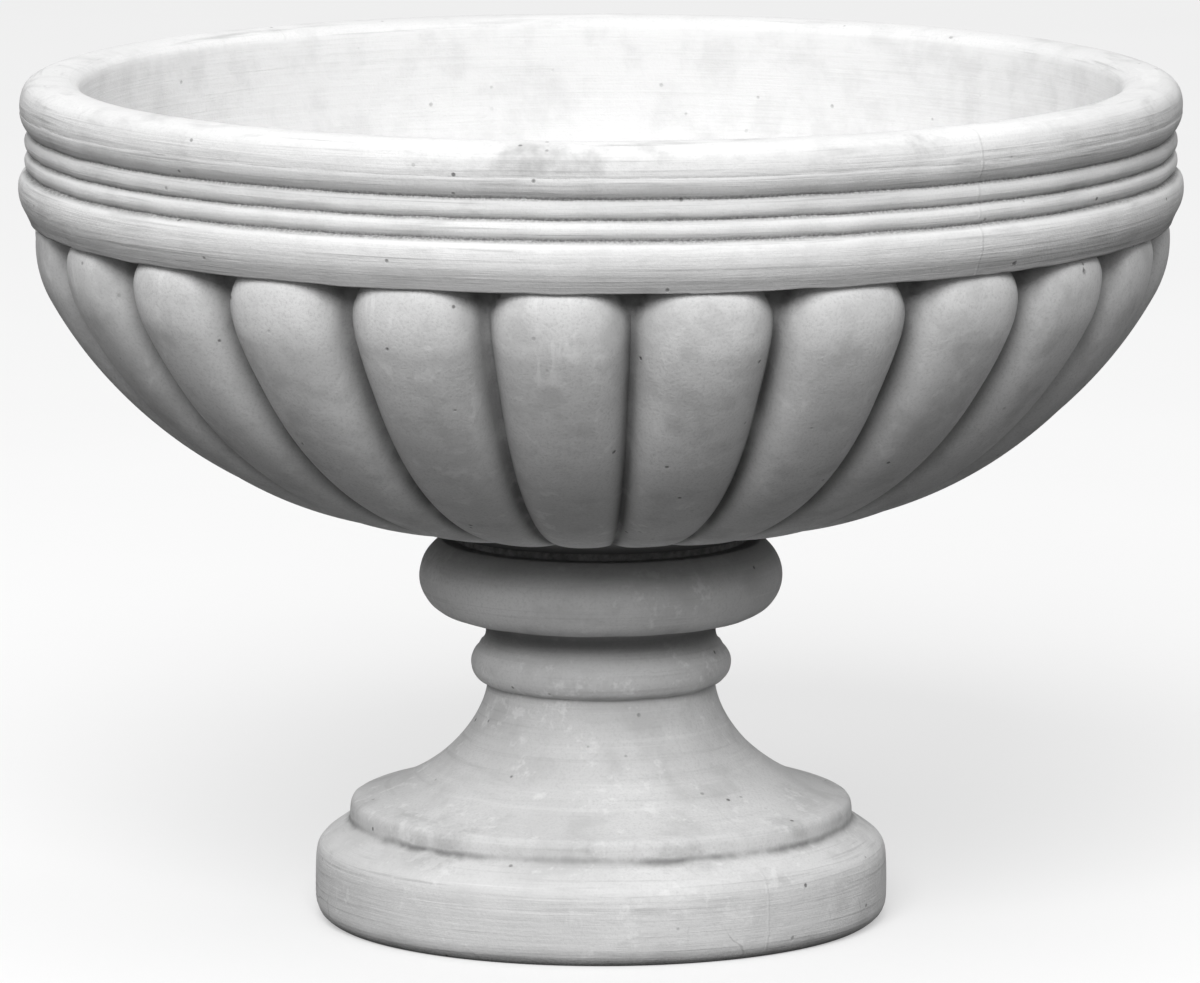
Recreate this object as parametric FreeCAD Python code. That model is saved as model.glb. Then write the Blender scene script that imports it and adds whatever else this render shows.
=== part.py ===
import FreeCAD, Part
from BOPTools import SplitAPI
import math
import os

# A cast stone urn planter: a wide gadrooned bowl with a banded rim, bedded in mortar on a turned
# pedestal. A plastic drain sleeve runs down the middle and centres the bowl on the pedestal.
# Steel bars are cast into the narrow stem, and the stone is cut exactly where each bar lies.
# Millimetres. +Z is up, the front faces -Y, and the origin is the centre of the pedestal's underside.
# Round mouldings are cut as short flats, as a template is filed, so the faces stay few.

# pedestal, from the ground up
plinth_radius = 190.0
plinth_height = 51.0
plinth_top_round = 7.0
plinth_foot_round = 8.0
shoulder_rise = 12.0           # the slope from the plinth up to the step
step_radius = 167.5            # the low upright step that the flared foot stands on
step_height = 17.0
step_round = 7.0
flare_rise = 76.0              # the flared foot, from the step up to the collar
flare_top_radius = 76.0
flare_pull = 68.0              # how far the flare keeps low before it turns up
flare_upright = 12.0
flare_slope = 16.0             # degrees, at the flare's outer edge
collar_radius = 86.8
collar_bead = 13.3             # half the collar's height
neck_radius = 76.5
neck_rise = 19.0
torus_radius = 120.5
torus_bead = 26.5              # half the torus's height, before its top is cut flat
torus_top_cut = 2.5

# hollow under the pedestal
recess_radius = 128.0
recess_depth = 50.0

# bowl, from its seat up
seat_radius = 105.0
seat_height = 7.8
belly_radius = 299.0           # the long arc of the gadroons' crests, and its lowest point
belly_low_radius = 103.6
shoulder_radius = 74.0         # the arc above it, which ends upright at the widest level
shoulder_swing = 29.0          # degrees
gadroon_count = 24
gadroon_turn = 3.2             # degrees from the front to the first valley
gadroon_rise = 33.5176         # how far a gadroon stands out from the chord across it, at its widest
gadroon_flats = 5              # flats across one gadroon
shoulder_flats = 2             # and along its crest
belly_flats = 5
band_stand = 11.0              # from the widest level up to the band's underside
band_height = 32.0
band_reach = 8.8               # how far the band stands out past the gadroons' crests
band_under_run = 8.0
band_under_rise = 15.0
band_top_round = 5.0
bead_height = 13.0
bead_count = 2
bead_reach = 4.4
groove_depth = 4.0
rim_height = 36.5
rim_reach = 7.8
rim_top_round = 19.0
rim_under_round = 8.0
rim_wall = 41.2
rim_lip = 9.0
wall_thickness = 23.0          # behind the valleys
floor_thickness = 36.0

# joint between the stones
bed_thickness = 5.0
bed_inset = 9.0                # the mortar is raked back from the torus's flat top
sleeve_radius = 16.0
sleeve_wall = 3.0
sleeve_gap = 1.0               # between the sleeve and the pedestal's bore
sleeve_drip = 10.0             # how far the sleeve stands down into the recess

# steel in the stem
stem_bar = 8.0
stem_bar_count = 4
stem_bar_ring = 48.0
bar_cover = 15.0               # stone over the ends of the bars

# levels
step_level = plinth_height + shoulder_rise
flare_level = step_level + step_height
flare_top = flare_level + flare_rise
collar_level = flare_top + collar_bead
torus_level = collar_level + collar_bead + neck_rise + torus_bead
pedestal_top = torus_level + torus_bead - torus_top_cut
bowl_base = pedestal_top + bed_thickness
gadroon_level = bowl_base + seat_height
belly_centre = (belly_low_radius, gadroon_level + belly_radius)
swing = math.radians(shoulder_swing)
arc_step = belly_radius - shoulder_radius
widest_level = belly_centre[1] - arc_step * math.sin(swing)
shoulder_centre = (belly_centre[0] + arc_step * math.cos(swing), widest_level)
crest_radius = shoulder_centre[0] + shoulder_radius
half_pitch = crest_radius * math.tan(math.pi / gadroon_count)
gadroon_radius = (half_pitch ** 2 + gadroon_rise ** 2) / (2 * gadroon_rise)
band_radius = crest_radius + band_reach
bead_radius = crest_radius + bead_reach
rim_radius = crest_radius + rim_reach
rim_inner_radius = rim_radius - rim_wall
band_level = widest_level + band_stand
bead_level = band_level + band_height
rim_level = bead_level + bead_count * bead_height
rim_top = rim_level + rim_height
floor_level = bowl_base + floor_thickness
torus_top_radius = torus_radius - torus_bead + math.sqrt(torus_bead ** 2 - (torus_bead - torus_top_cut) ** 2)
bore_radius = sleeve_radius + sleeve_gap

middle = FreeCAD.Vector(0, 0, 0)
upright = FreeCAD.Vector(0, 0, 1)
sideways = FreeCAD.Vector(0, 1, 0)


class Outline:
    """A half section in the plane of radius and height, drawn point by point and then turned."""

    def __init__(self, radius, level):
        self.points = [(radius, level)]

    def line(self, radius, level):
        self.points.append((radius, level))
        return self

    def round(self, centre, reach, start, end, flats):
        """Flats along an arc, or an ellipse if reach is a pair. Angles in degrees, 90 is up."""
        across, up = reach if isinstance(reach, tuple) else (reach, reach)
        for number in range(flats + 1):
            angle = math.radians(start + (end - start) * number / flats)
            self.line(centre[0] + across * math.cos(angle), centre[1] + up * math.sin(angle))
        return self

    def bezier(self, first, second, end, flats):
        start = self.points[-1]
        for number in range(1, flats + 1):
            t = number / flats
            weights = ((1 - t) ** 3, 3 * (1 - t) ** 2 * t, 3 * (1 - t) * t ** 2, t ** 3)
            corners = (start, first, second, end)
            radius = sum(weight * corner[0] for weight, corner in zip(weights, corners))
            level = sum(weight * corner[1] for weight, corner in zip(weights, corners))
            self.line(radius, level)
        return self

    def turned(self, degrees=360):
        corners = []
        for radius, level in self.points + self.points[:1]:
            corner = FreeCAD.Vector(radius, 0, level)
            if not corners or (corner - corners[-1]).Length > 0.01:
                corners.append(corner)
        face = Part.Face(Part.makePolygon(corners))
        return face.revolve(middle, upright, degrees)


def spun(shape, degrees):
    copy = shape.copy()
    copy.rotate(middle, upright, degrees)
    return copy


def plunge(radius, low, high):
    """An upright round cut or bar on the axis."""
    return Part.makeCylinder(radius, high - low, FreeCAD.Vector(0, 0, low))


def crest_point(swung):
    """A point of the gadroons' crest line, by its angle below the level of the arcs' centres."""
    if swung < swing:
        centre, radius = shoulder_centre, shoulder_radius
    else:
        centre, radius = belly_centre, belly_radius
    return FreeCAD.Vector(centre[0] + radius * math.cos(swung), 0, centre[1] - radius * math.sin(swung))


def crest_chords():
    """Corners of the crest line, from behind the band down to the middle of the underside."""
    head = crest_point(0) + upright * band_height
    angles = [swing * number / shoulder_flats for number in range(shoulder_flats)]
    angles += [swing + (math.pi / 2 - swing) * number / belly_flats for number in range(belly_flats + 1)]
    foot = crest_point(math.pi / 2)
    foot.x = 0
    return [head] + [crest_point(angle) for angle in angles] + [foot]


def rounded_bar(start, end, out):
    """One flat-sided length of a gadroon's rounded bar, longer than its place at both ends."""
    leg = (end - start).normalize()
    opening = math.asin(0.9)
    spine = start - out * gadroon_radius - leg * gadroon_radius
    section = []
    for flat in range(gadroon_flats + 1):
        angle = opening * (2 * flat / gadroon_flats - 1)
        spoke = out * math.cos(angle) + sideways * math.sin(angle)
        section.append(spine + spoke * gadroon_radius)
    return Part.makePolygon(section).extrude(leg * ((end - start).Length + 2 * gadroon_radius))


def mitre_block(start, end, mitre, next_mitre):
    """The room that one length of the bar fills, between the mitres at its two ends."""
    deep = 0.8 * gadroon_radius
    corners = [start + mitre * 5, end + next_mitre * 5, end - next_mitre * deep, start - mitre * deep]
    block = Part.Face(Part.makePolygon(corners + corners[:1])).extrude(sideways * (2 * gadroon_radius))
    block.translate(sideways * -gadroon_radius)
    return block


def gadroon_skin():
    """One gadroon: lengths of a rounded bar laid along the crest line and mitred together."""
    corners = crest_chords()
    outs = [(after - before).normalize().cross(sideways) for before, after in zip(corners, corners[1:])]
    between = [(before + after).normalize() for before, after in zip(outs, outs[1:])]
    mitres = outs[:1] + between + outs[-1:]
    faces = []
    for number, out in enumerate(outs):
        start, end = corners[number], corners[number + 1]
        block = mitre_block(start, end, mitres[number], mitres[number + 1])
        faces += rounded_bar(start, end, out).common(block).Faces
    skin = Part.makeShell(faces)
    skin.sewShape()
    return skin


def on_side(face, degrees):
    """Whether a face lies in the upright plane through the axis at an angle from +X."""
    slope = math.tan(math.radians(degrees))
    return all(abs(corner.Y - slope * corner.X) < 0.01 for corner in face.Vertexes)


def gadrooned_belly():
    """The ring of gadroons, as one closed solid that is open down the middle."""
    pitch = 360 / gadroon_count
    inner = seat_radius / 2
    outer = crest_radius * 1.2
    top = band_level + band_under_rise
    block = Outline(inner, bowl_base).line(outer, bowl_base).line(outer, top).line(inner, top)
    wedge = spun(block.turned(pitch), -pitch / 2)
    pieces = SplitAPI.slice(wedge, [gadroon_skin()], "Split").Solids
    gadroon = max(pieces, key=lambda piece: piece.CenterOfMass.z)
    faces = []
    for face in gadroon.Faces:
        mating = on_side(face, pitch / 2) or on_side(face, -pitch / 2)
        if not mating:
            faces += [spun(face, pitch * number) for number in range(gadroon_count)]
    shell = Part.makeShell(faces)
    shell.sewShape()
    return spun(Part.makeSolid(shell), gadroon_turn - 90 + pitch / 2)


def valley_depth(radius):
    """How far the valleys lie below a crest at this radius, where neighbouring gadroons meet."""
    slope = math.tan(math.pi / gadroon_count)
    spine = radius - gadroon_radius
    wide = 1 + slope ** 2
    return radius - (spine + math.sqrt(wide * gadroon_radius ** 2 - (slope * spine) ** 2)) / wide


def planting_hollow():
    """The hollow for the soil. It keeps the wall's thickness, and its floor falls to the middle."""
    hollow = Outline(0, rim_top + 10).line(rim_inner_radius, rim_top + 10)
    hollow.line(rim_inner_radius, rim_top - rim_lip)
    hollow.line(rim_inner_radius, bead_level)
    for swung in (swing, (swing + math.pi / 2) / 2):
        crest = crest_point(swung)
        inwards = FreeCAD.Vector(-math.cos(swung), 0, math.sin(swung))
        inside = crest + inwards * (wall_thickness + valley_depth(crest.x))
        hollow.line(inside.x, inside.z)
    hollow.line(0, floor_level)
    return hollow.turned()


def make_bowl():
    groove_radius = bead_radius - groove_depth
    bead_round = (groove_depth, bead_height / 2)
    under_round = (band_under_run, band_under_rise)
    inner = seat_radius / 2
    side = Outline(inner, band_level)
    side.round((band_radius - band_under_run, band_level + band_under_rise), under_round, -90, 0, 1)
    side.line(band_radius, bead_level - band_top_round).line(groove_radius, bead_level)
    for number in range(bead_count):
        side.round((groove_radius, bead_level + bead_height * (number + 0.5)), bead_round, -90, 90, 2)
    side.line(rim_radius, rim_level + rim_under_round)
    side.round((rim_radius - rim_top_round, rim_top - rim_top_round), rim_top_round, 0, 90, 3)
    side.line(rim_inner_radius + rim_lip, rim_top).line(rim_inner_radius, rim_top - rim_lip)
    side.line(inner, rim_top - rim_lip)
    seat = plunge(seat_radius - 2, bowl_base, widest_level)
    stone = gadrooned_belly().fuse([side.turned(), seat])
    stone = stone.cut([planting_hollow(), plunge(sleeve_radius, bowl_base - 1, widest_level)])
    return stone


def pedestal_outline():
    """The turned outside, from the ground up to the flat that carries the bowl."""
    shape = Outline(0, 0).line(plinth_radius - plinth_foot_round, 0)
    shape.line(plinth_radius, plinth_foot_round)
    shape.line(plinth_radius, plinth_height - plinth_top_round)
    shape.line(plinth_radius - plinth_top_round / 2, plinth_height)
    shape.line(step_radius, step_level)
    shape.line(step_radius, flare_level - step_round)
    flare_radius = step_radius - step_round - 3
    shape.line(flare_radius, flare_level)
    slope = math.radians(flare_slope)
    first = (flare_radius - flare_pull * math.cos(slope), flare_level + flare_pull * math.sin(slope))
    shape.bezier(first, (flare_top_radius, flare_top - flare_upright), (flare_top_radius, flare_top), 4)
    foot_angle = math.degrees(math.acos((flare_top_radius - collar_radius) / collar_bead + 1))
    neck_angle = math.degrees(math.acos((neck_radius - collar_radius) / collar_bead + 1))
    shape.round((collar_radius - collar_bead, collar_level), collar_bead, -foot_angle, neck_angle, 3)
    shape.line(neck_radius, torus_level - torus_bead)
    cut_angle = math.degrees(math.asin(1 - torus_top_cut / torus_bead))
    shape.round((torus_radius - torus_bead, torus_level), torus_bead, -90, cut_angle, 4)
    return shape


def make_pedestal():
    shape = pedestal_outline().line(0, pedestal_top)
    stone = shape.turned()
    tools = [plunge(recess_radius, -1, recess_depth), plunge(bore_radius, 0, pedestal_top + 1)]
    return stone.cut(tools + make_stem_bars().Solids)


def make_mortar_bed():
    bed = plunge(torus_top_radius - bed_inset, pedestal_top, bowl_base)
    return bed.cut(plunge(bore_radius, pedestal_top - 1, bowl_base + 1))


def make_drain_sleeve():
    low = recess_depth - sleeve_drip
    sleeve = plunge(sleeve_radius, low, floor_level)
    return sleeve.cut(plunge(sleeve_radius - sleeve_wall, low - 1, floor_level + 1))


def make_stem_bars():
    """Upright square bars in the stem's narrowest part, which end inside the foot and the torus."""
    low = recess_depth + bar_cover
    high = pedestal_top - bar_cover
    corner = FreeCAD.Vector(stem_bar_ring - stem_bar / 2, -stem_bar / 2, low)
    bar = Part.makeBox(stem_bar, stem_bar, high - low, corner)
    turns = [360 * (number + 0.5) / stem_bar_count for number in range(stem_bar_count)]
    return Part.Compound([spun(bar, turn) for turn in turns])


def save(node, shape):
    solids = shape.Solids
    whole = solids[0] if len(solids) == 1 else Part.Compound(solids)
    state = "sound" if whole.isValid() else "NOT SOUND"
    whole.exportStep(os.path.join("parts", node + ".step"))
    print(node, len(solids), "solids,", len(whole.Faces), "faces,", state)


os.makedirs("parts", exist_ok=True)
save("bowl", make_bowl().removeSplitter())
save("pedestal", make_pedestal())
save("mortar_bed", make_mortar_bed())
save("drain_sleeve", make_drain_sleeve())
save("stem_bars", make_stem_bars())
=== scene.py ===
"""A cast stone urn planter: the gadrooned bowl and its turned pedestal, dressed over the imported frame.

Sizes are in millimetres in the templates and in metres on the meshes. The front faces -Y.
"""
import math
import random

import bpy
import numpy as np
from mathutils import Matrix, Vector


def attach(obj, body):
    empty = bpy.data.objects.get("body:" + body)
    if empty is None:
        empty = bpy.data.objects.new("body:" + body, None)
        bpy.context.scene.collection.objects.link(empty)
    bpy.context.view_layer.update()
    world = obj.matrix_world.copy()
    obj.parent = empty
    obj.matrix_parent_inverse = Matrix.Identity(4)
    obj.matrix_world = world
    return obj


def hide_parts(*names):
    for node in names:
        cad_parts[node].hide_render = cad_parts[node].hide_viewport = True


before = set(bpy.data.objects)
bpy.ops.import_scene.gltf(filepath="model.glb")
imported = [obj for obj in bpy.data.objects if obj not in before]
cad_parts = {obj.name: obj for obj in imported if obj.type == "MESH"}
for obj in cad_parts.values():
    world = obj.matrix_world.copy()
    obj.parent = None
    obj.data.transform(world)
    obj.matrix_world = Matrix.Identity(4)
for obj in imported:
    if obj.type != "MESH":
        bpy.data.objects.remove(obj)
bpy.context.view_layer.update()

MM = 0.001
DOUBLES = 2e-6                         # metres, within which two points are one

# bowl
SEAT_BASE = 257.1
SEAT_TOP = 264.4
SEAT_RADIUS = 103.0
SLEEVE_RADIUS = 16.0
BELLY = (103.6, 563.9, 299.0)          # centre radius, centre level and radius of the crest's long arc
SHOULDER = (300.39, 454.82, 74.0)      # and of the arc above it
SWING = math.radians(29.0)             # where the one arc meets the other
HEAD_RADIUS = 374.35                   # the crests' upright end, behind the band
GADROONS = 24
PITCH = 2 * math.pi / GADROONS
GADROON_TURN = math.radians(3.2 - 90.0)                # a little past the front, which is at -90
GADROON_ROUND = 53.0
GADROON_POWER = 2.7                    # 2 is round, and more is flatter on the crest
CROWDING = 0.13                        # how far the columns are drawn to the valleys
VALLEY_WIDTH = 0.045                   # as a share of half a gadroon
VALLEY_DEPTH = 25.5                    # at the most
TIP_LENGTH = 24.0
BAND_LEVEL = 465.9
BOWL_COLUMNS = 480

# pedestal
PEDESTAL_TOP = 252.1
BORE_RADIUS = 17.0
HOLLOW_RADIUS = 128.0
HOLLOW_DEPTH = 50.0
FLARE = (157.4, 80.6)                  # the flared foot's outer edge
FLARE_PULL = 68.0
FLARE_SLOPE = math.radians(16.0)
STEM_COLUMNS = 288

# grooves under, between and over the beads, in metres: their levels and half their widths
GROOVES = ((0.4994, 0.0032), (0.5124, 0.0028), (0.5256, 0.0032))

# stage and camera
FLOOR_SIZE = 90.0
SKY = ((0.0, 0.2), (0.3, 0.6), (0.75, 0.82))          # heights and their greys
CAMERA_PLACE = (0, -6.8521, 1.3567)
CAMERA_DROP = 8.907                                   # degrees below the level
CAMERA_LENS = 315.0
PICTURE_WIDTH = 1200


# ---------------------------------------------------------------- templates

def smooth(a, b, c, d, t):
    """One coordinate of the smooth curve from b to c, which also heeds a before and d after them."""
    return 0.5 * (2 * b + (c - a) * t + (2 * a - 5 * b + 4 * c - d) * t * t
                  + (3 * b - a - 3 * c + d) * t ** 3)


class Template:
    """A half section of radius and level, filed point by point."""

    def __init__(self, radius, level):
        self.points = [(radius, level)]

    def line(self, radius, level, steps=1):
        start = self.points[-1]
        for number in range(1, steps + 1):
            share = number / steps
            self.points.append((start[0] + (radius - start[0]) * share,
                                start[1] + (level - start[1]) * share))
        return self

    def round(self, centre, reach, start, end, steps):
        across, up = reach if isinstance(reach, tuple) else (reach, reach)
        for number in range(steps + 1):
            angle = math.radians(start + (end - start) * number / steps)
            self.points.append((centre[0] + across * math.cos(angle), centre[1] + up * math.sin(angle)))
        return self

    def flow(self, *corners, steps):
        """A smooth curve through the corners, from the last point."""
        knots = [self.points[-1]] + list(corners)
        knots = [knots[0]] + knots + [knots[-1]]
        for a, b, c, d in zip(knots, knots[1:], knots[2:], knots[3:]):
            for number in range(1, steps + 1):
                t = number / steps
                self.points.append(tuple(smooth(a[i], b[i], c[i], d[i], t) for i in range(2)))
        return self

    def bezier(self, first, second, end, steps):
        start = self.points[-1]
        for number in range(1, steps + 1):
            t = number / steps
            weights = ((1 - t) ** 3, 3 * (1 - t) ** 2 * t, 3 * (1 - t) * t ** 2, t ** 3)
            pulls = list(zip(weights, (start, first, second, end)))
            self.points.append(tuple(sum(weight * corner[i] for weight, corner in pulls) for i in range(2)))
        return self


def crest(angle):
    """A point of the gadroons' crest line, by its angle below the level of the arc's centre."""
    radius, level, reach = SHOULDER if angle < SWING else BELLY
    return radius + reach * math.cos(angle), level - reach * math.sin(angle)


def bowl_template():
    shape = Template(SLEEVE_RADIUS, SEAT_BASE)
    shape.line(SEAT_RADIUS - 2.5, SEAT_BASE, 3).line(SEAT_RADIUS, SEAT_BASE + 2.0)
    shape.line(SEAT_RADIUS + 0.2, SEAT_TOP)
    belly_rows = 54
    for row in range(belly_rows):
        shape.points.append(crest(math.pi / 2 - (math.pi / 2 - SWING) * row / belly_rows))
    shoulder_rows = 16
    for row in range(shoulder_rows + 1):
        shape.points.append(crest(SWING * (1 - row / shoulder_rows)))
    shape.line(HEAD_RADIUS, BAND_LEVEL + 0.4, 7)
    # the broad band, with a soft underside
    shape.line(375.2, BAND_LEVEL + 0.1)
    shape.flow((376.1, 468.4), (378.2, 473.0), (381.0, 478.4), (382.5, 483.6), (382.9, 488.0),
               (382.6, 492.0), (381.3, 495.6), (378.4, 498.1), (375.6, 499.2), steps=2)
    # two small beads
    for low in (499.4, 512.4):
        shape.flow((376.6, low + 1.4), (378.2, low + 3.7), (378.8, low + 6.4), (378.2, low + 9.3),
                   (376.6, low + 11.6), (375.4, low + 12.8), steps=2)
    # the rim's roll, with a faint crease, and the soft inner edge
    shape.flow((376.6, 526.6), (379.0, 529.6), (380.8, 533.2), (381.8, 537.4), (381.55, 539.3),
               (381.9, 541.4), (381.6, 546.0), (380.2, 551.0), (377.2, 555.4), (372.2, 558.3),
               (366.0, 559.9), (359.0, 560.1), (351.5, 559.2), (346.0, 557.2), (342.6, 554.2),
               (341.2, 550.0), steps=2)
    # the soil's hollow
    shape.line(340.8, 541.0).line(340.4, 508.0, 3)
    shape.flow((338.6, 488.0), (326.5, 447.5), (305.0, 414.0), (276.0, 377.0), (243.0, 342.5),
               (212.0, 330.6), (150.0, 319.2), (80.0, 306.8), (30.0, 297.9), steps=2)
    shape.line(SLEEVE_RADIUS + 1.0, 296.0).line(SLEEVE_RADIUS, 295.2)
    shape.line(SLEEVE_RADIUS, SEAT_BASE, 2)
    return shape.points


def pedestal_template():
    shape = Template(BORE_RADIUS, HOLLOW_DEPTH)
    shape.line(BORE_RADIUS, PEDESTAL_TOP, 4).line(104.5, PEDESTAL_TOP, 5)
    # torus
    shape.round((94.0, 228.1), 26.5, 66, -90, 38)
    # neck, with soft coves above and below
    shape.flow((86.5, 201.0), (80.2, 199.6), (77.3, 196.4), (76.6, 192.0), (77.0, 187.6), (78.6, 184.2),
               (80.4, 182.6), steps=3)
    # collar
    shape.round((73.5, 169.3), 13.3, 50, -76, 18)
    # flared foot, downwards
    shape.line(76.2, 156.2)
    low_pull = (157.5 - FLARE_PULL * math.cos(FLARE_SLOPE), 80 + FLARE_PULL * math.sin(FLARE_SLOPE))
    shape.bezier((76.0, 144.0), low_pull, FLARE, 34)
    # step, shoulder and plinth
    shape.flow((161.6, 79.6), (164.7, 78.0), (166.4, 75.2), (167.0, 71.4), (167.2, 66.6), (167.9, 64.2),
               (170.2, 62.6), (175.2, 59.4), (180.6, 55.6), (184.6, 52.4), (187.3, 49.0), (188.9, 44.6),
               (189.6, 38.0), (189.8, 28.0), (189.8, 16.0), (189.2, 9.0), (186.6, 4.2), (182.4, 0.8),
               steps=2)
    shape.line(181.0, 0.0).line(HOLLOW_RADIUS, 0.0, 4)
    shape.line(HOLLOW_RADIUS, HOLLOW_DEPTH, 4).line(BORE_RADIUS, HOLLOW_DEPTH, 4)
    return shape.points


# ---------------------------------------------------------------- modelling

def deselect():
    if bpy.context.object and bpy.context.object.mode != "OBJECT":
        bpy.ops.object.mode_set(mode="OBJECT")
    bpy.ops.object.select_all(action="DESELECT")


def turned(name, points, columns):
    """A template drawn by extruding one vertex, spun round the upright axis and closed."""
    deselect()
    bpy.ops.mesh.primitive_plane_add(size=MM, location=(0, 0, 0))
    piece = bpy.context.object
    piece.name = piece.data.name = name
    bpy.ops.object.mode_set(mode="EDIT")
    bpy.ops.mesh.select_all(action="SELECT")
    bpy.ops.mesh.merge(type="CENTER")
    place = (0.0, 0.0)
    for number, (radius, level) in enumerate(points):
        step = ((radius - place[0]) * MM, 0, (level - place[1]) * MM)
        if number == 0:
            bpy.ops.transform.translate(value=step)
        elif math.hypot(step[0], step[2]) > 1e-5:
            bpy.ops.mesh.extrude_vertices_move(TRANSFORM_OT_translate={"value": step})
        else:
            continue
        place = (radius, level)
    bpy.ops.mesh.select_all(action="SELECT")
    bpy.ops.mesh.remove_doubles(threshold=DOUBLES)
    bpy.ops.mesh.select_all(action="SELECT")
    bpy.ops.mesh.spin(steps=columns, angle=2 * math.pi, center=(0, 0, 0), axis=(0, 0, 1))
    bpy.ops.mesh.select_all(action="SELECT")
    bpy.ops.mesh.remove_doubles(threshold=DOUBLES)
    bpy.ops.mesh.normals_make_consistent(inside=False)
    bpy.ops.object.mode_set(mode="OBJECT")
    bpy.ops.object.shade_smooth()
    return piece


def read_points(piece):
    """Angle, radius and level of every vertex, in radians and millimetres."""
    flat = np.empty(len(piece.data.vertices) * 3)
    piece.data.vertices.foreach_get("co", flat)
    x, y, z = flat.reshape(-1, 3).T / MM
    return np.arctan2(y, x), np.hypot(x, y), z.copy()


def write_points(piece, angle, radius, level):
    flat = np.stack((radius * np.cos(angle), radius * np.sin(angle), level), axis=1) * MM
    piece.data.vertices.foreach_set("co", flat.ravel())
    piece.data.update()


def keep(piece, name, values):
    """A value at each vertex that the finish can read."""
    layer = piece.data.attributes.new(name, "FLOAT", "POINT")
    layer.data.foreach_set("value", np.ascontiguousarray(values, dtype=np.float32))


def waver(angle, level, waves, seed, grain=40.0):
    """The unevenness of hand-filed stone: a few rings of waves that drift with the level."""
    source = random.Random(seed)
    total = np.zeros_like(angle)
    for wave in waves:
        phase = source.uniform(0, 2 * math.pi)
        drift = source.uniform(-1, 1) / grain
        total += np.sin(angle * wave + phase + level * drift * 2) * source.uniform(0.6, 1.0)
    return total / len(waves)


def ease(low, high, values):
    share = np.clip((values - low) / (high - low), 0, 1)
    return share * share * (3 - 2 * share)


def on_crest(radius, level):
    """Which vertices the gadroons are carved from, and how steeply the crest falls away at each."""
    belly = np.arctan2(BELLY[1] - level, radius - BELLY[0])
    shoulder = np.arctan2(SHOULDER[1] - level, radius - SHOULDER[0])
    on_belly = np.abs(np.hypot(radius - BELLY[0], level - BELLY[1]) - BELLY[2]) < 0.05
    on_shoulder = np.abs(np.hypot(radius - SHOULDER[0], level - SHOULDER[1]) - SHOULDER[2]) < 0.05
    on_head = np.abs(radius - HEAD_RADIUS) < 0.08
    on_head &= (level > SHOULDER[1] - 0.1) & (level < BAND_LEVEL + 0.6)
    fall = np.where(on_belly, belly, np.where(on_shoulder, shoulder, 0.0))
    carved = (on_belly & (radius > BELLY[0] - 0.2) & (belly > 0)) | on_shoulder | on_head
    return carved, fall


def gadroon_traits(which):
    """Four numbers for each vertex's own gadroon, as no two gadroons are quite alike."""
    source = random.Random(7)
    traits = np.array([[source.uniform(-1, 1) for _ in range(4)] for _ in range(GADROONS)])
    return traits[which.astype(int) % GADROONS].T


def gadroon_height(across, level, which):
    """How much of the full height stands here, from 0 in a valley to 1 on a crest."""
    leaning, flatter, longer, wider = gadroon_traits(which)
    lean = leaning * 0.02 * (1 - across ** 2)
    power = GADROON_POWER + flatter * 0.2
    gap = VALLEY_WIDTH + 0.015 * wider
    share = np.clip(np.abs(across + lean) / (1 - gap), 0, 1)
    height = (1 - share ** power) ** 0.5
    # some valleys keep a thin ridge where the mould's pieces met
    ridge = 0.09 * ease(0.955, 1.0, np.abs(across)) * (wider > -0.3)
    height = np.maximum(height, ridge)
    # finger tips under the band
    end = BAND_LEVEL + 12 + longer * 1.5 - 34 * np.abs(across) ** 3.8
    share = np.clip((level - (end - TIP_LENGTH)) / TIP_LENGTH, 0, 1)
    tip = np.sqrt(np.clip(1 - share ** 2.6, 0, 1))
    return height * tip


def carve_gadroons(piece):
    angle, radius, level = read_points(piece)
    carved, fall = on_crest(radius, level)
    # the columns crowd towards the valleys, so that these stay sharp
    pitches = (angle - GADROON_TURN - PITCH / 2) / PITCH
    which = np.round(pitches)
    across = (pitches - which) * 2
    across = np.where(carved, across + CROWDING * np.sin(math.pi * across), across)
    height = gadroon_height(across, level, which)
    half_gap = np.minimum(radius * math.tan(PITCH / 2), GADROON_ROUND * 0.98)
    depth = GADROON_ROUND - np.sqrt(GADROON_ROUND ** 2 - half_gap ** 2)
    depth = np.minimum(depth * 1.02, VALLEY_DEPTH)
    # low dents and swellings on the crests
    dents = 0.55 + 0.5 * waver(angle, level, (5, 9, 17, 31, 53), 3, 30)
    sink = np.where(carved, depth * (1 - height) + dents, 0)
    radius = radius - sink * np.cos(fall)
    level = level + sink * np.sin(fall)
    angle = np.where(carved, GADROON_TURN + PITCH / 2 + (which + across / 2) * PITCH, angle)
    keep(piece, "valley", np.where(carved, 1 - height, 0))
    keep(piece, "gadroon", np.where(carved, 1.0, 0.0))
    keep(piece, "inside", ((radius < 342) & (level > 290) & ~carved).astype(float))
    return angle, radius, level


def hand_filed_bands(angle, radius, level):
    """The bands and the roll run slightly unevenly, as scraped by hand."""
    outside = (radius > 345) & (level > BAND_LEVEL - 4)
    edge = ease(BAND_LEVEL - 4, BAND_LEVEL, level) * (1 - ease(548, 557, level))
    lift = 0.75 * waver(angle, 0, (3, 7, 11, 19, 29), 11) + 0.35 * waver(angle, 0, (37, 51, 67), 12)
    local = 0.5 * waver(angle, level, (5, 13, 23, 41), 13, 8)
    push = 0.35 * waver(angle, level, (4, 9, 15, 27, 44), 14, 10)
    level = level + np.where(outside, edge * (lift + local), 0)
    radius = radius + np.where(outside, edge * (push - 0.3), 0)
    top = (level > 545) & (radius > 338)
    swell = 0.25 * waver(angle, radius, (3, 5, 8, 13, 21), 15, 20) - 0.2
    level = level + np.where(top, ease(545, 556, level) * swell, 0)
    return angle, radius, level


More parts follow.
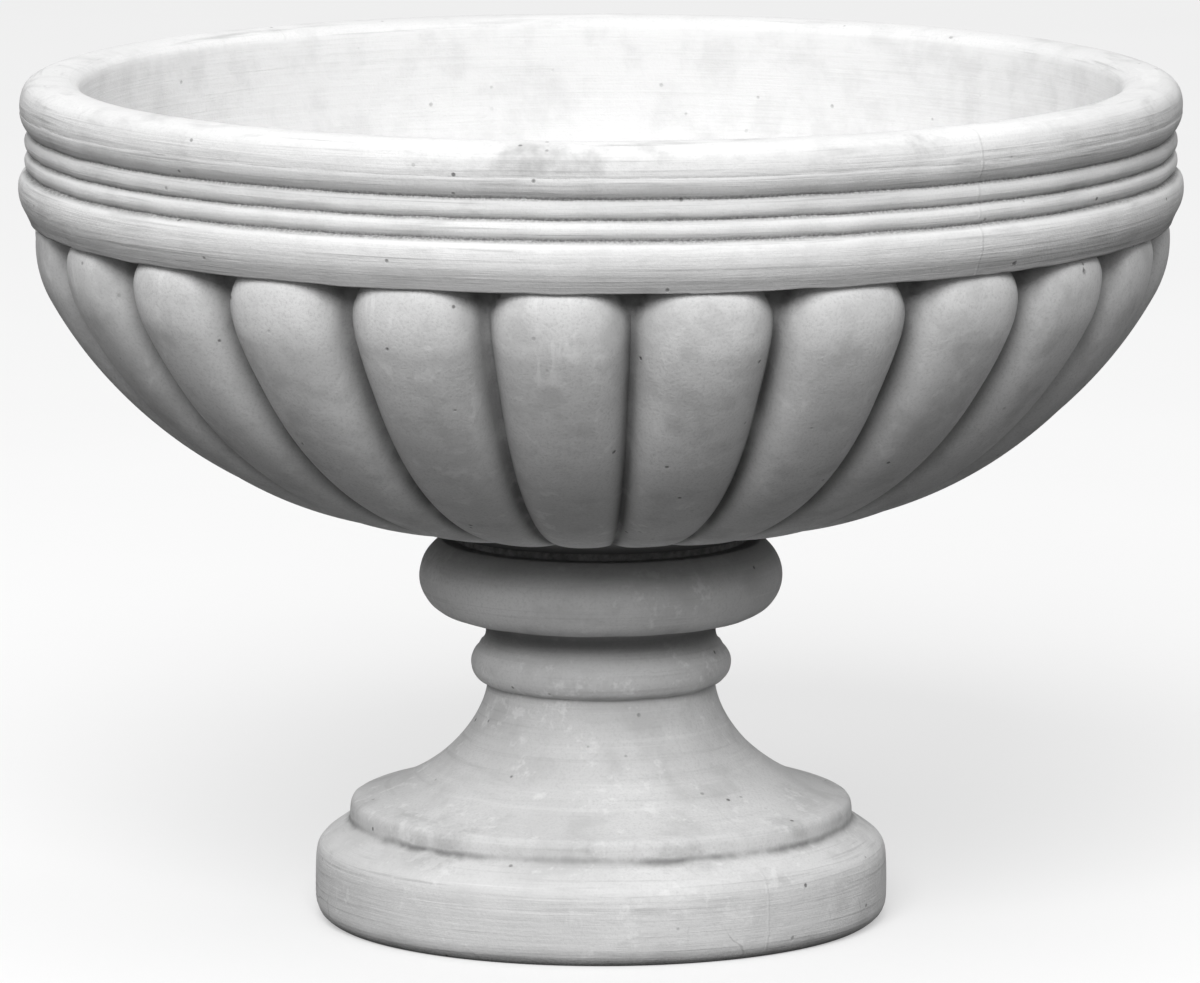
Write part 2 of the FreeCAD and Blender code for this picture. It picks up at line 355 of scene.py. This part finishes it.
def make_bowl():
    piece = turned("cast_bowl", bowl_template(), BOWL_COLUMNS)
    write_points(piece, *hand_filed_bands(*carve_gadroons(piece)))
    recalculated(piece)
    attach(piece, "root")
    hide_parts("bowl")
    return piece


def make_pedestal():
    piece = turned("cast_pedestal", pedestal_template(), STEM_COLUMNS)
    angle, radius, level = read_points(piece)
    in_hollow = (level < HOLLOW_DEPTH + 0.5) & (radius < HOLLOW_RADIUS + 9)
    outside = (radius > 70) & (level > 0.5) & ~in_hollow
    body = ease(0.5, 8, level) * (1 - ease(246, 251, level))
    push = 0.55 * waver(angle, level, (2, 3, 5, 9, 14), 21, 25) - 0.6
    push += 0.2 * waver(angle, level, (19, 31, 43), 22, 10)
    level = level + np.where(outside, body * 0.5 * waver(angle, level, (3, 6, 11, 17), 23, 30), 0)
    radius = radius + np.where(outside, body * push, 0)
    write_points(piece, angle, radius, level)
    recalculated(piece)
    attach(piece, "root")
    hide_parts("pedestal")
    return piece


def recalculated(piece):
    """Face directions made even again after carving, and soft edges kept smooth."""
    deselect()
    piece.select_set(True)
    bpy.context.view_layer.objects.active = piece
    bpy.ops.object.mode_set(mode="EDIT")
    bpy.ops.mesh.select_all(action="SELECT")
    bpy.ops.mesh.normals_make_consistent(inside=False)
    bpy.ops.object.mode_set(mode="OBJECT")
    bpy.ops.object.shade_smooth_by_angle(angle=math.radians(75))


# ---------------------------------------------------------------- finishes

class Value:
    """A socket of a node tree, used in sums as a number would be."""

    def __init__(self, home, socket):
        self.home = home
        self.socket = socket

    def sum(self, operation, *others):
        return self.home.node("ShaderNodeMath", {"operation": operation}, *others)[0]

    def __add__(self, other):
        return self.sum("ADD", self, other)

    __radd__ = __add__

    def __sub__(self, other):
        return self.sum("SUBTRACT", self, other)

    def __rsub__(self, other):
        return self.sum("SUBTRACT", other, self)

    def __mul__(self, other):
        return self.sum("MULTIPLY", self, other)

    __rmul__ = __mul__

    def __pow__(self, other):
        return self.sum("POWER", self, other)

    def __abs__(self):
        return self.sum("ABSOLUTE", self, 0)

    def largest(self, other):
        return self.sum("MAXIMUM", self, other)

    def smallest(self, other):
        return self.sum("MINIMUM", self, other)

    def ramp(self, low, high):
        """0 below low, 1 above high, and smooth between them."""
        settings = {"interpolation_type": "SMOOTHSTEP"}
        return self.home.node("ShaderNodeMapRange", settings, self, low, high, 0.0, 1.0)[0]

    def near(self, place, reach):
        """1 at place, falling to 0 at reach from it."""
        return 1 - abs(self - place).ramp(0.0, reach)


def largest_of(*values):
    whole = values[0]
    for value in values[1:]:
        whole = whole.largest(value)
    return whole


class Tree:
    """The nodes of a material or of the world, cleared and built anew."""

    def __init__(self, owner):
        owner.use_nodes = True
        self.owner = owner
        self.tree = owner.node_tree
        self.tree.nodes.clear()

    def fill(self, socket, value):
        if isinstance(value, Value):
            self.tree.links.new(value.socket, socket)
        else:
            socket.default_value = value

    def node(self, kind, settings, *values, **named):
        """A node with its settings, and its sockets' values or links in order or by name."""
        made = self.tree.nodes.new(kind)
        for name, setting in settings.items():
            setattr(made, name, setting)
        for socket, value in zip(made.inputs, values):
            self.fill(socket, value)
        for name, value in named.items():
            self.fill(made.inputs[name], value)
        return [Value(self, socket) for socket in made.outputs]


class Finish(Tree):
    """One procedural material."""

    def __init__(self, name):
        super().__init__(bpy.data.materials.new(name))
        self.place = self.node("ShaderNodeTexCoord", {})[3]
        self.x, self.y, self.z = self.node("ShaderNodeSeparateXYZ", {}, self.place)
        self.radius = (self.x * self.x + self.y * self.y) ** 0.5

    def stretched(self, across, up):
        """Coordinates for a pattern that is finer along one way than the other."""
        return self.node("ShaderNodeMapping", {}, self.place, Scale=(across, across, up))[0]

    def warped(self, reach):
        """Coordinates pushed about by a noise, for lines that wander."""
        drift = self.node("ShaderNodeTexNoise", {}, Vector=self.place, Scale=40.0, Detail=3.0)[1]
        centred = self.node("ShaderNodeVectorMath", {"operation": "SUBTRACT"}, drift, (0.5, 0.5, 0.5))[0]
        pushed = self.node("ShaderNodeVectorMath", {"operation": "SCALE"}, centred, Scale=reach)[0]
        return self.node("ShaderNodeVectorMath", {"operation": "ADD"}, self.place, pushed)[0]

    def noise(self, scale, detail=3.0, roughness=0.55, place=None, twist=0.0):
        return self.node("ShaderNodeTexNoise", {}, Vector=place or self.place, Scale=scale,
                         Detail=detail, Roughness=roughness, Distortion=twist)[0]

    def cells(self, scale, feature="F1", place=None):
        return self.node("ShaderNodeTexVoronoi", {"feature": feature}, Vector=place or self.place,
                         Scale=scale)

    def lots(self, cells):
        """A number between 0 and 1 for each cell, drawn from its own colour."""
        return self.node("ShaderNodeSeparateColor", {}, cells[1])[0]

    def attribute(self, name):
        return self.node("ShaderNodeAttribute", {"attribute_name": name})[2]

    def mix(self, first, second, share):
        made = self.tree.nodes.new("ShaderNodeMix")
        made.data_type = "RGBA"
        for number, value in ((0, share), (6, first), (7, second)):
            self.fill(made.inputs[number], value)
        return Value(self, made.outputs[2])

    def bump(self, height, distance, strength):
        return self.node("ShaderNodeBump", {}, Strength=strength, Distance=distance, Height=height)[0]

    def close(self, colour, roughness, normal, **constants):
        sockets = {"Base Color": colour, "Roughness": roughness, "Normal": normal, **constants}
        shader = self.node("ShaderNodeBsdfPrincipled", {}, **sockets)[0]
        self.node("ShaderNodeOutputMaterial", {}, shader)
        return self.owner


def grey(level):
    return (level, level, level, 1)


def stone(name, dirt_and_shade, seam_turn, pale, dull):
    """Hand-finished cast stone, between two greys.

    The function passed in gives four shares: how dark with grime and painted shade, how limy, how scraped
    by hand and how clean each place is.
    """
    finish = Finish(name)
    blotch = finish.noise(8.0, 3.0, 0.55)
    cloud = finish.noise(34.0, 4.0, 0.6)
    grit = finish.noise(520.0, 3.0, 0.7)
    strokes = finish.noise(1.0, 4.0, 0.65, finish.stretched(6.0, 330.0), 0.3)
    smears = finish.noise(1.0, 3.0, 0.6, finish.stretched(16.0, 90.0), 0.5)
    grime_and_shade, lime, scraped, clean = dirt_and_shade(finish, cloud, grit)
    # bug holes, small and large, in the few cells whose lot is high, sunk in the bump, their dark colour
    # painted shade in the pits
    small = finish.cells(120.0)
    pinholes = (1 - small[0].ramp(0.08, 0.22)) * finish.lots(small).ramp(0.945, 0.99)
    large = finish.cells(42.0)
    holes = (1 - (large[0] + 0.16 * (grit - 0.5)).ramp(0.03, 0.1)) * finish.lots(large).ramp(0.925, 0.97)
    holes = holes * cloud.ramp(0.33, 0.55)
    colour = finish.mix(grey(dull), grey(pale), blotch.ramp(0.3, 0.7))
    colour = finish.mix(colour, grey(0.5 * pale), (1 - cloud.ramp(0.3, 0.52)) * 0.34)
    colour = finish.mix(colour, grey(0.6 * pale), (1 - grit.ramp(0.3, 0.55)) * 0.4)
    colour = finish.mix(colour, grey(1.12 * pale), scraped * 0.5)
    colour = finish.mix(colour, grey(0.5 * pale), smears.ramp(0.56, 0.76) * 0.34 * scraped)
    colour = finish.mix(colour, grey(0.45 * pale), strokes.ramp(0.55, 0.72) * 0.5 * scraped)
    colour = finish.mix(colour, grey(0.88), (1 - strokes.ramp(0.3, 0.44)) * 0.4 * scraped)
    colour = finish.mix(colour, finish.mix(grey(0.66), grey(0.74), cloud.ramp(0.3, 0.6)), clean * 0.85)
    colour = finish.mix(colour, grey(0.85), lime)
    # grime and painted shade, darkening towards grey 0.1
    colour = finish.mix(colour, grey(0.1), grime_and_shade)
    colour = finish.mix(colour, grey(0.1), pinholes.largest(holes) * (0.8 - 0.45 * clean))
    # the mould's seam, a thin uneven line on opposite sides
    turn = math.radians(seam_turn)
    aside = abs(finish.x * math.cos(turn) + finish.y * math.sin(turn) + 0.005 * (cloud - 0.5))
    seam = (1 - aside.ramp(0.0003, 0.0014)) * (1 - clean) * scraped * blotch.ramp(0.35, 0.55)
    colour = finish.mix(colour, grey(0.45), seam * 0.22 * cloud.ramp(0.4, 0.6))
    height = cloud * 0.6 + grit * 0.2 + (strokes * 0.45 + smears * 0.3) * scraped
    height = height - pinholes * 0.4 - holes * 1.2 + seam * 0.16
    normal = finish.bump(height, 0.0013, 0.9)
    roughness = 0.86 + (grit - 0.5) * 0.2
    return finish.close(colour, roughness, normal, **{"Specular IOR Level": 0.25})


def bowl_dirt_and_shade(finish, cloud, grit):
    valley = finish.attribute("valley")
    gadroon = finish.attribute("gadroon")
    # painted shade and grime in the gadroons' valleys, with the shade painted heavier low on the belly
    deep = valley.ramp(0.12, 0.95) * (1.1 - 0.25 * finish.z.ramp(0.28, 0.38))
    # painted shade and grime, lying wider where the gadroons meet the band
    wide = valley.ramp(0.05, 0.45) * finish.z.ramp(0.42, 0.462) * 0.5
    grime_and_shade = deep.largest(wide).smallest(1.0) * (0.65 + 0.35 * cloud.ramp(0.3, 0.6)) * gadroon
    outer = finish.radius.ramp(0.366, 0.372)
    # painted shade and grime along the grooves between the beads
    level = finish.z + (cloud - 0.5) * 0.0016
    lines = largest_of(*(level.near(*groove) for groove in GROOVES))
    lines = lines * outer * (0.5 + 0.5 * grit.ramp(0.35, 0.6))
    # painted shade in the roll's faint crease
    crease = level.near(0.5394, 0.0006) * outer * cloud.ramp(0.42, 0.6) * 0.4
    # painted shade, with some grime, on the undersides of the band and of the roll
    turned_under = (1 - level.ramp(0.467, 0.479)).largest(level.near(GROOVES[2][0], 0.012) * 0.5) * outer
    turned_under = turned_under * (1 - gadroon) * 0.4
    # grey smudges on the roll, the largest at the front
    patch = finish.noise(26.0, 4.0, 0.7)
    front = finish.x.near(-0.028, 0.075) * (1 - finish.y.ramp(-0.35, -0.33)) * 0.24
    on_roll = finish.z.ramp(0.536, 0.545) * finish.radius.ramp(0.362, 0.376)
    smudge = (patch + front).ramp(0.5, 0.92) * on_roll
    # pale streaks of lime that ran down some of the gadroons
    runs = finish.noise(1.0, 3.0, 0.6, finish.stretched(62.0, 6.0), 0.6)
    lime = runs.ramp(0.56, 0.66) * cloud.ramp(0.44, 0.58) * (1 - deep).largest(0.0) * gadroon * 0.5
    # painted shade low on the bowl, where it sits on the pedestal
    under = (1 - finish.z.ramp(0.259, 0.268)) * 0.92
    grime_and_shade = largest_of(grime_and_shade * 0.85, lines * 0.78, crease, turned_under, under, smudge * 0.45)
    return grime_and_shade, lime, 1 - gadroon, finish.attribute("inside")


def pedestal_dirt_and_shade(finish, cloud, grit):
    level = finish.z + (cloud - 0.5) * 0.004
    patch = finish.noise(13.0, 4.0, 0.65)
    # painted shade and grime in the groove at the foot's step
    step = level.near(0.0655, 0.0045) * (0.3 + 0.7 * patch.ramp(0.4, 0.6))
    step = step * (0.7 + 0.3 * cloud.ramp(0.4, 0.6))
    # painted shade in the neck, under the torus
    neck = level.near(0.1935, 0.018)
    # painted shade in the crease where the collar meets the flared foot
    collar = level.near(0.156, 0.005) * 0.4
    foot = (1 - level.ramp(0.0, 0.009)) * 0.4 * grit.ramp(0.4, 0.6)
    # painted shadow of the bowl on the torus's top
    ledge = level.ramp(0.228, 0.25) * 0.8
    stain = patch.ramp(0.52, 0.68) * level.near(0.068, 0.022) * 0.42
    # fine cracks round the plinth's foot
    cells = finish.cells(17.0, "DISTANCE_TO_EDGE", finish.warped(0.012))
    cracks = (1 - cells[0].ramp(0.003, 0.011)) * (1 - level.ramp(0.018, 0.03))
    cracks = cracks * patch.ramp(0.5, 0.6) * 0.4
    grime_and_shade = largest_of(step, neck, collar, foot, ledge, stain, cracks)
    specks = finish.noise(75.0, 3.0, 0.75)
    lime = (specks * 0.6 + patch * 0.4).ramp(0.54, 0.64) * 0.45
    plinth = 1 - finish.z.ramp(0.05, 0.066)
    return grime_and_shade * 0.75, lime, 0.4 + 0.45 * plinth, 0.0


def plain_finish(name, dark, light, scale, roughness, bump_height, **constants):
    """An even finish for the hidden pieces, between two greys."""
    finish = Finish(name)
    pattern = finish.noise(scale, 4.0, 0.6)
    fine = finish.noise(scale * 9, 3.0, 0.6)
    colour = finish.mix(grey(dark), grey(light), (pattern * 0.7 + fine * 0.3).ramp(0.35, 0.65))
    normal = finish.bump(pattern * 0.5 + fine * 0.5, bump_height, 0.8)
    return finish.close(colour, roughness + (fine - 0.5) * 0.15, normal, **constants)


def dress(node, material):
    """A carried-over piece of the frame in its own finish."""
    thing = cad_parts[node]
    if not thing.material_slots:
        thing.data.materials.append(material)
    for slot in thing.material_slots:
        slot.material = material


# ---------------------------------------------------------------- stage, light and camera

def make_stage():
    """A floor that the camera sees pale, but that throws little light back on the urn."""
    deselect()
    bpy.ops.mesh.primitive_plane_add(size=FLOOR_SIZE, location=(0, 0, 0))
    floor = bpy.context.object
    floor.name = "floor"
    finish = Finish("pale_floor")
    to_camera = finish.node("ShaderNodeLightPath", {})[0]
    seen = finish.mix(grey(0.9), grey(0.94), finish.noise(2.0, 2.0))
    colour = finish.mix(grey(0.08), seen, to_camera)
    lit = finish.node("ShaderNodeBsdfDiffuse", {}, colour)[0]
    white = finish.node("ShaderNodeEmission", {}, grey(1.0), 1.0)[0]
    shader = finish.node("ShaderNodeMixShader", {}, to_camera * 0.4, lit, white)[0]
    finish.node("ShaderNodeOutputMaterial", {}, shader)
    floor.data.materials.append(finish.owner)


def make_sky():
    """An even grey light that grows paler overhead."""
    world = bpy.data.worlds.new("soft_sky")
    bpy.context.scene.world = world
    sky = Tree(world)
    generated = sky.node("ShaderNodeTexCoord", {})[0]
    height = sky.node("ShaderNodeSeparateXYZ", {}, generated)[2]
    ramp = sky.node("ShaderNodeValToRGB", {}, height)[0]
    stops = ramp.socket.node.color_ramp.elements
    stops.new(SKY[1][0])
    for stop, (place, level) in zip(stops, SKY):
        stop.position = place
        stop.color = grey(level)
    background = sky.node("ShaderNodeBackground", {}, ramp, 1.0)[0]
    sky.node("ShaderNodeOutputWorld", {}, background)


def soft_lamp(name, place, target, size, power):
    lamp = bpy.data.lights.new(name, "AREA")
    lamp.shape = "DISK"
    lamp.size = size
    lamp.energy = power
    holder = bpy.data.objects.new(name, lamp)
    bpy.context.scene.collection.objects.link(holder)
    holder.location = place
    holder.rotation_euler = (Vector(target) - Vector(place)).to_track_quat("-Z", "Y").to_euler()


def make_camera():
    """The camera as fitted, almost 7 m away and tilted down."""
    camera = bpy.data.cameras.new("view")
    camera.sensor_width = 36.0
    camera.sensor_fit = "HORIZONTAL"
    camera.lens = CAMERA_LENS
    camera.clip_end = 200.0
    camera.shift_x = -1.0 / PICTURE_WIDTH
    holder = bpy.data.objects.new("view", camera)
    bpy.context.scene.collection.objects.link(holder)
    holder.location = CAMERA_PLACE
    holder.rotation_euler = (math.radians(90 - CAMERA_DROP), 0, 0)
    bpy.context.scene.camera = holder


# ---------------------------------------------------------------- the whole

bowl = make_bowl()
pedestal = make_pedestal()
bowl.data.materials.append(stone("bowl_stone", bowl_dirt_and_shade, seam_turn=39.0, pale=0.75, dull=0.64))
# the pedestal's greys are set darker than the bowl's: painted shade of the bowl over the pedestal
pedestal.data.materials.append(
    stone("pedestal_stone", pedestal_dirt_and_shade, seam_turn=35.0, pale=0.69, dull=0.56))
dress("mortar_bed", plain_finish("raked_mortar", 0.16, 0.3, 180.0, 0.92, 0.0012))
dress("drain_sleeve", plain_finish("sleeve_plastic", 0.34, 0.42, 60.0, 0.5, 0.0002))
dress("stem_bars", plain_finish("rolled_steel", 0.1, 0.22, 90.0, 0.55, 0.0004, Metallic=1.0))
make_stage()
make_sky()
soft_lamp("key", place=(-0.7, -5.6, 4.5), target=(0, 0, 0.35), size=4.0, power=395)
make_camera()

view = bpy.context.scene.view_settings
view.view_transform = "Standard"
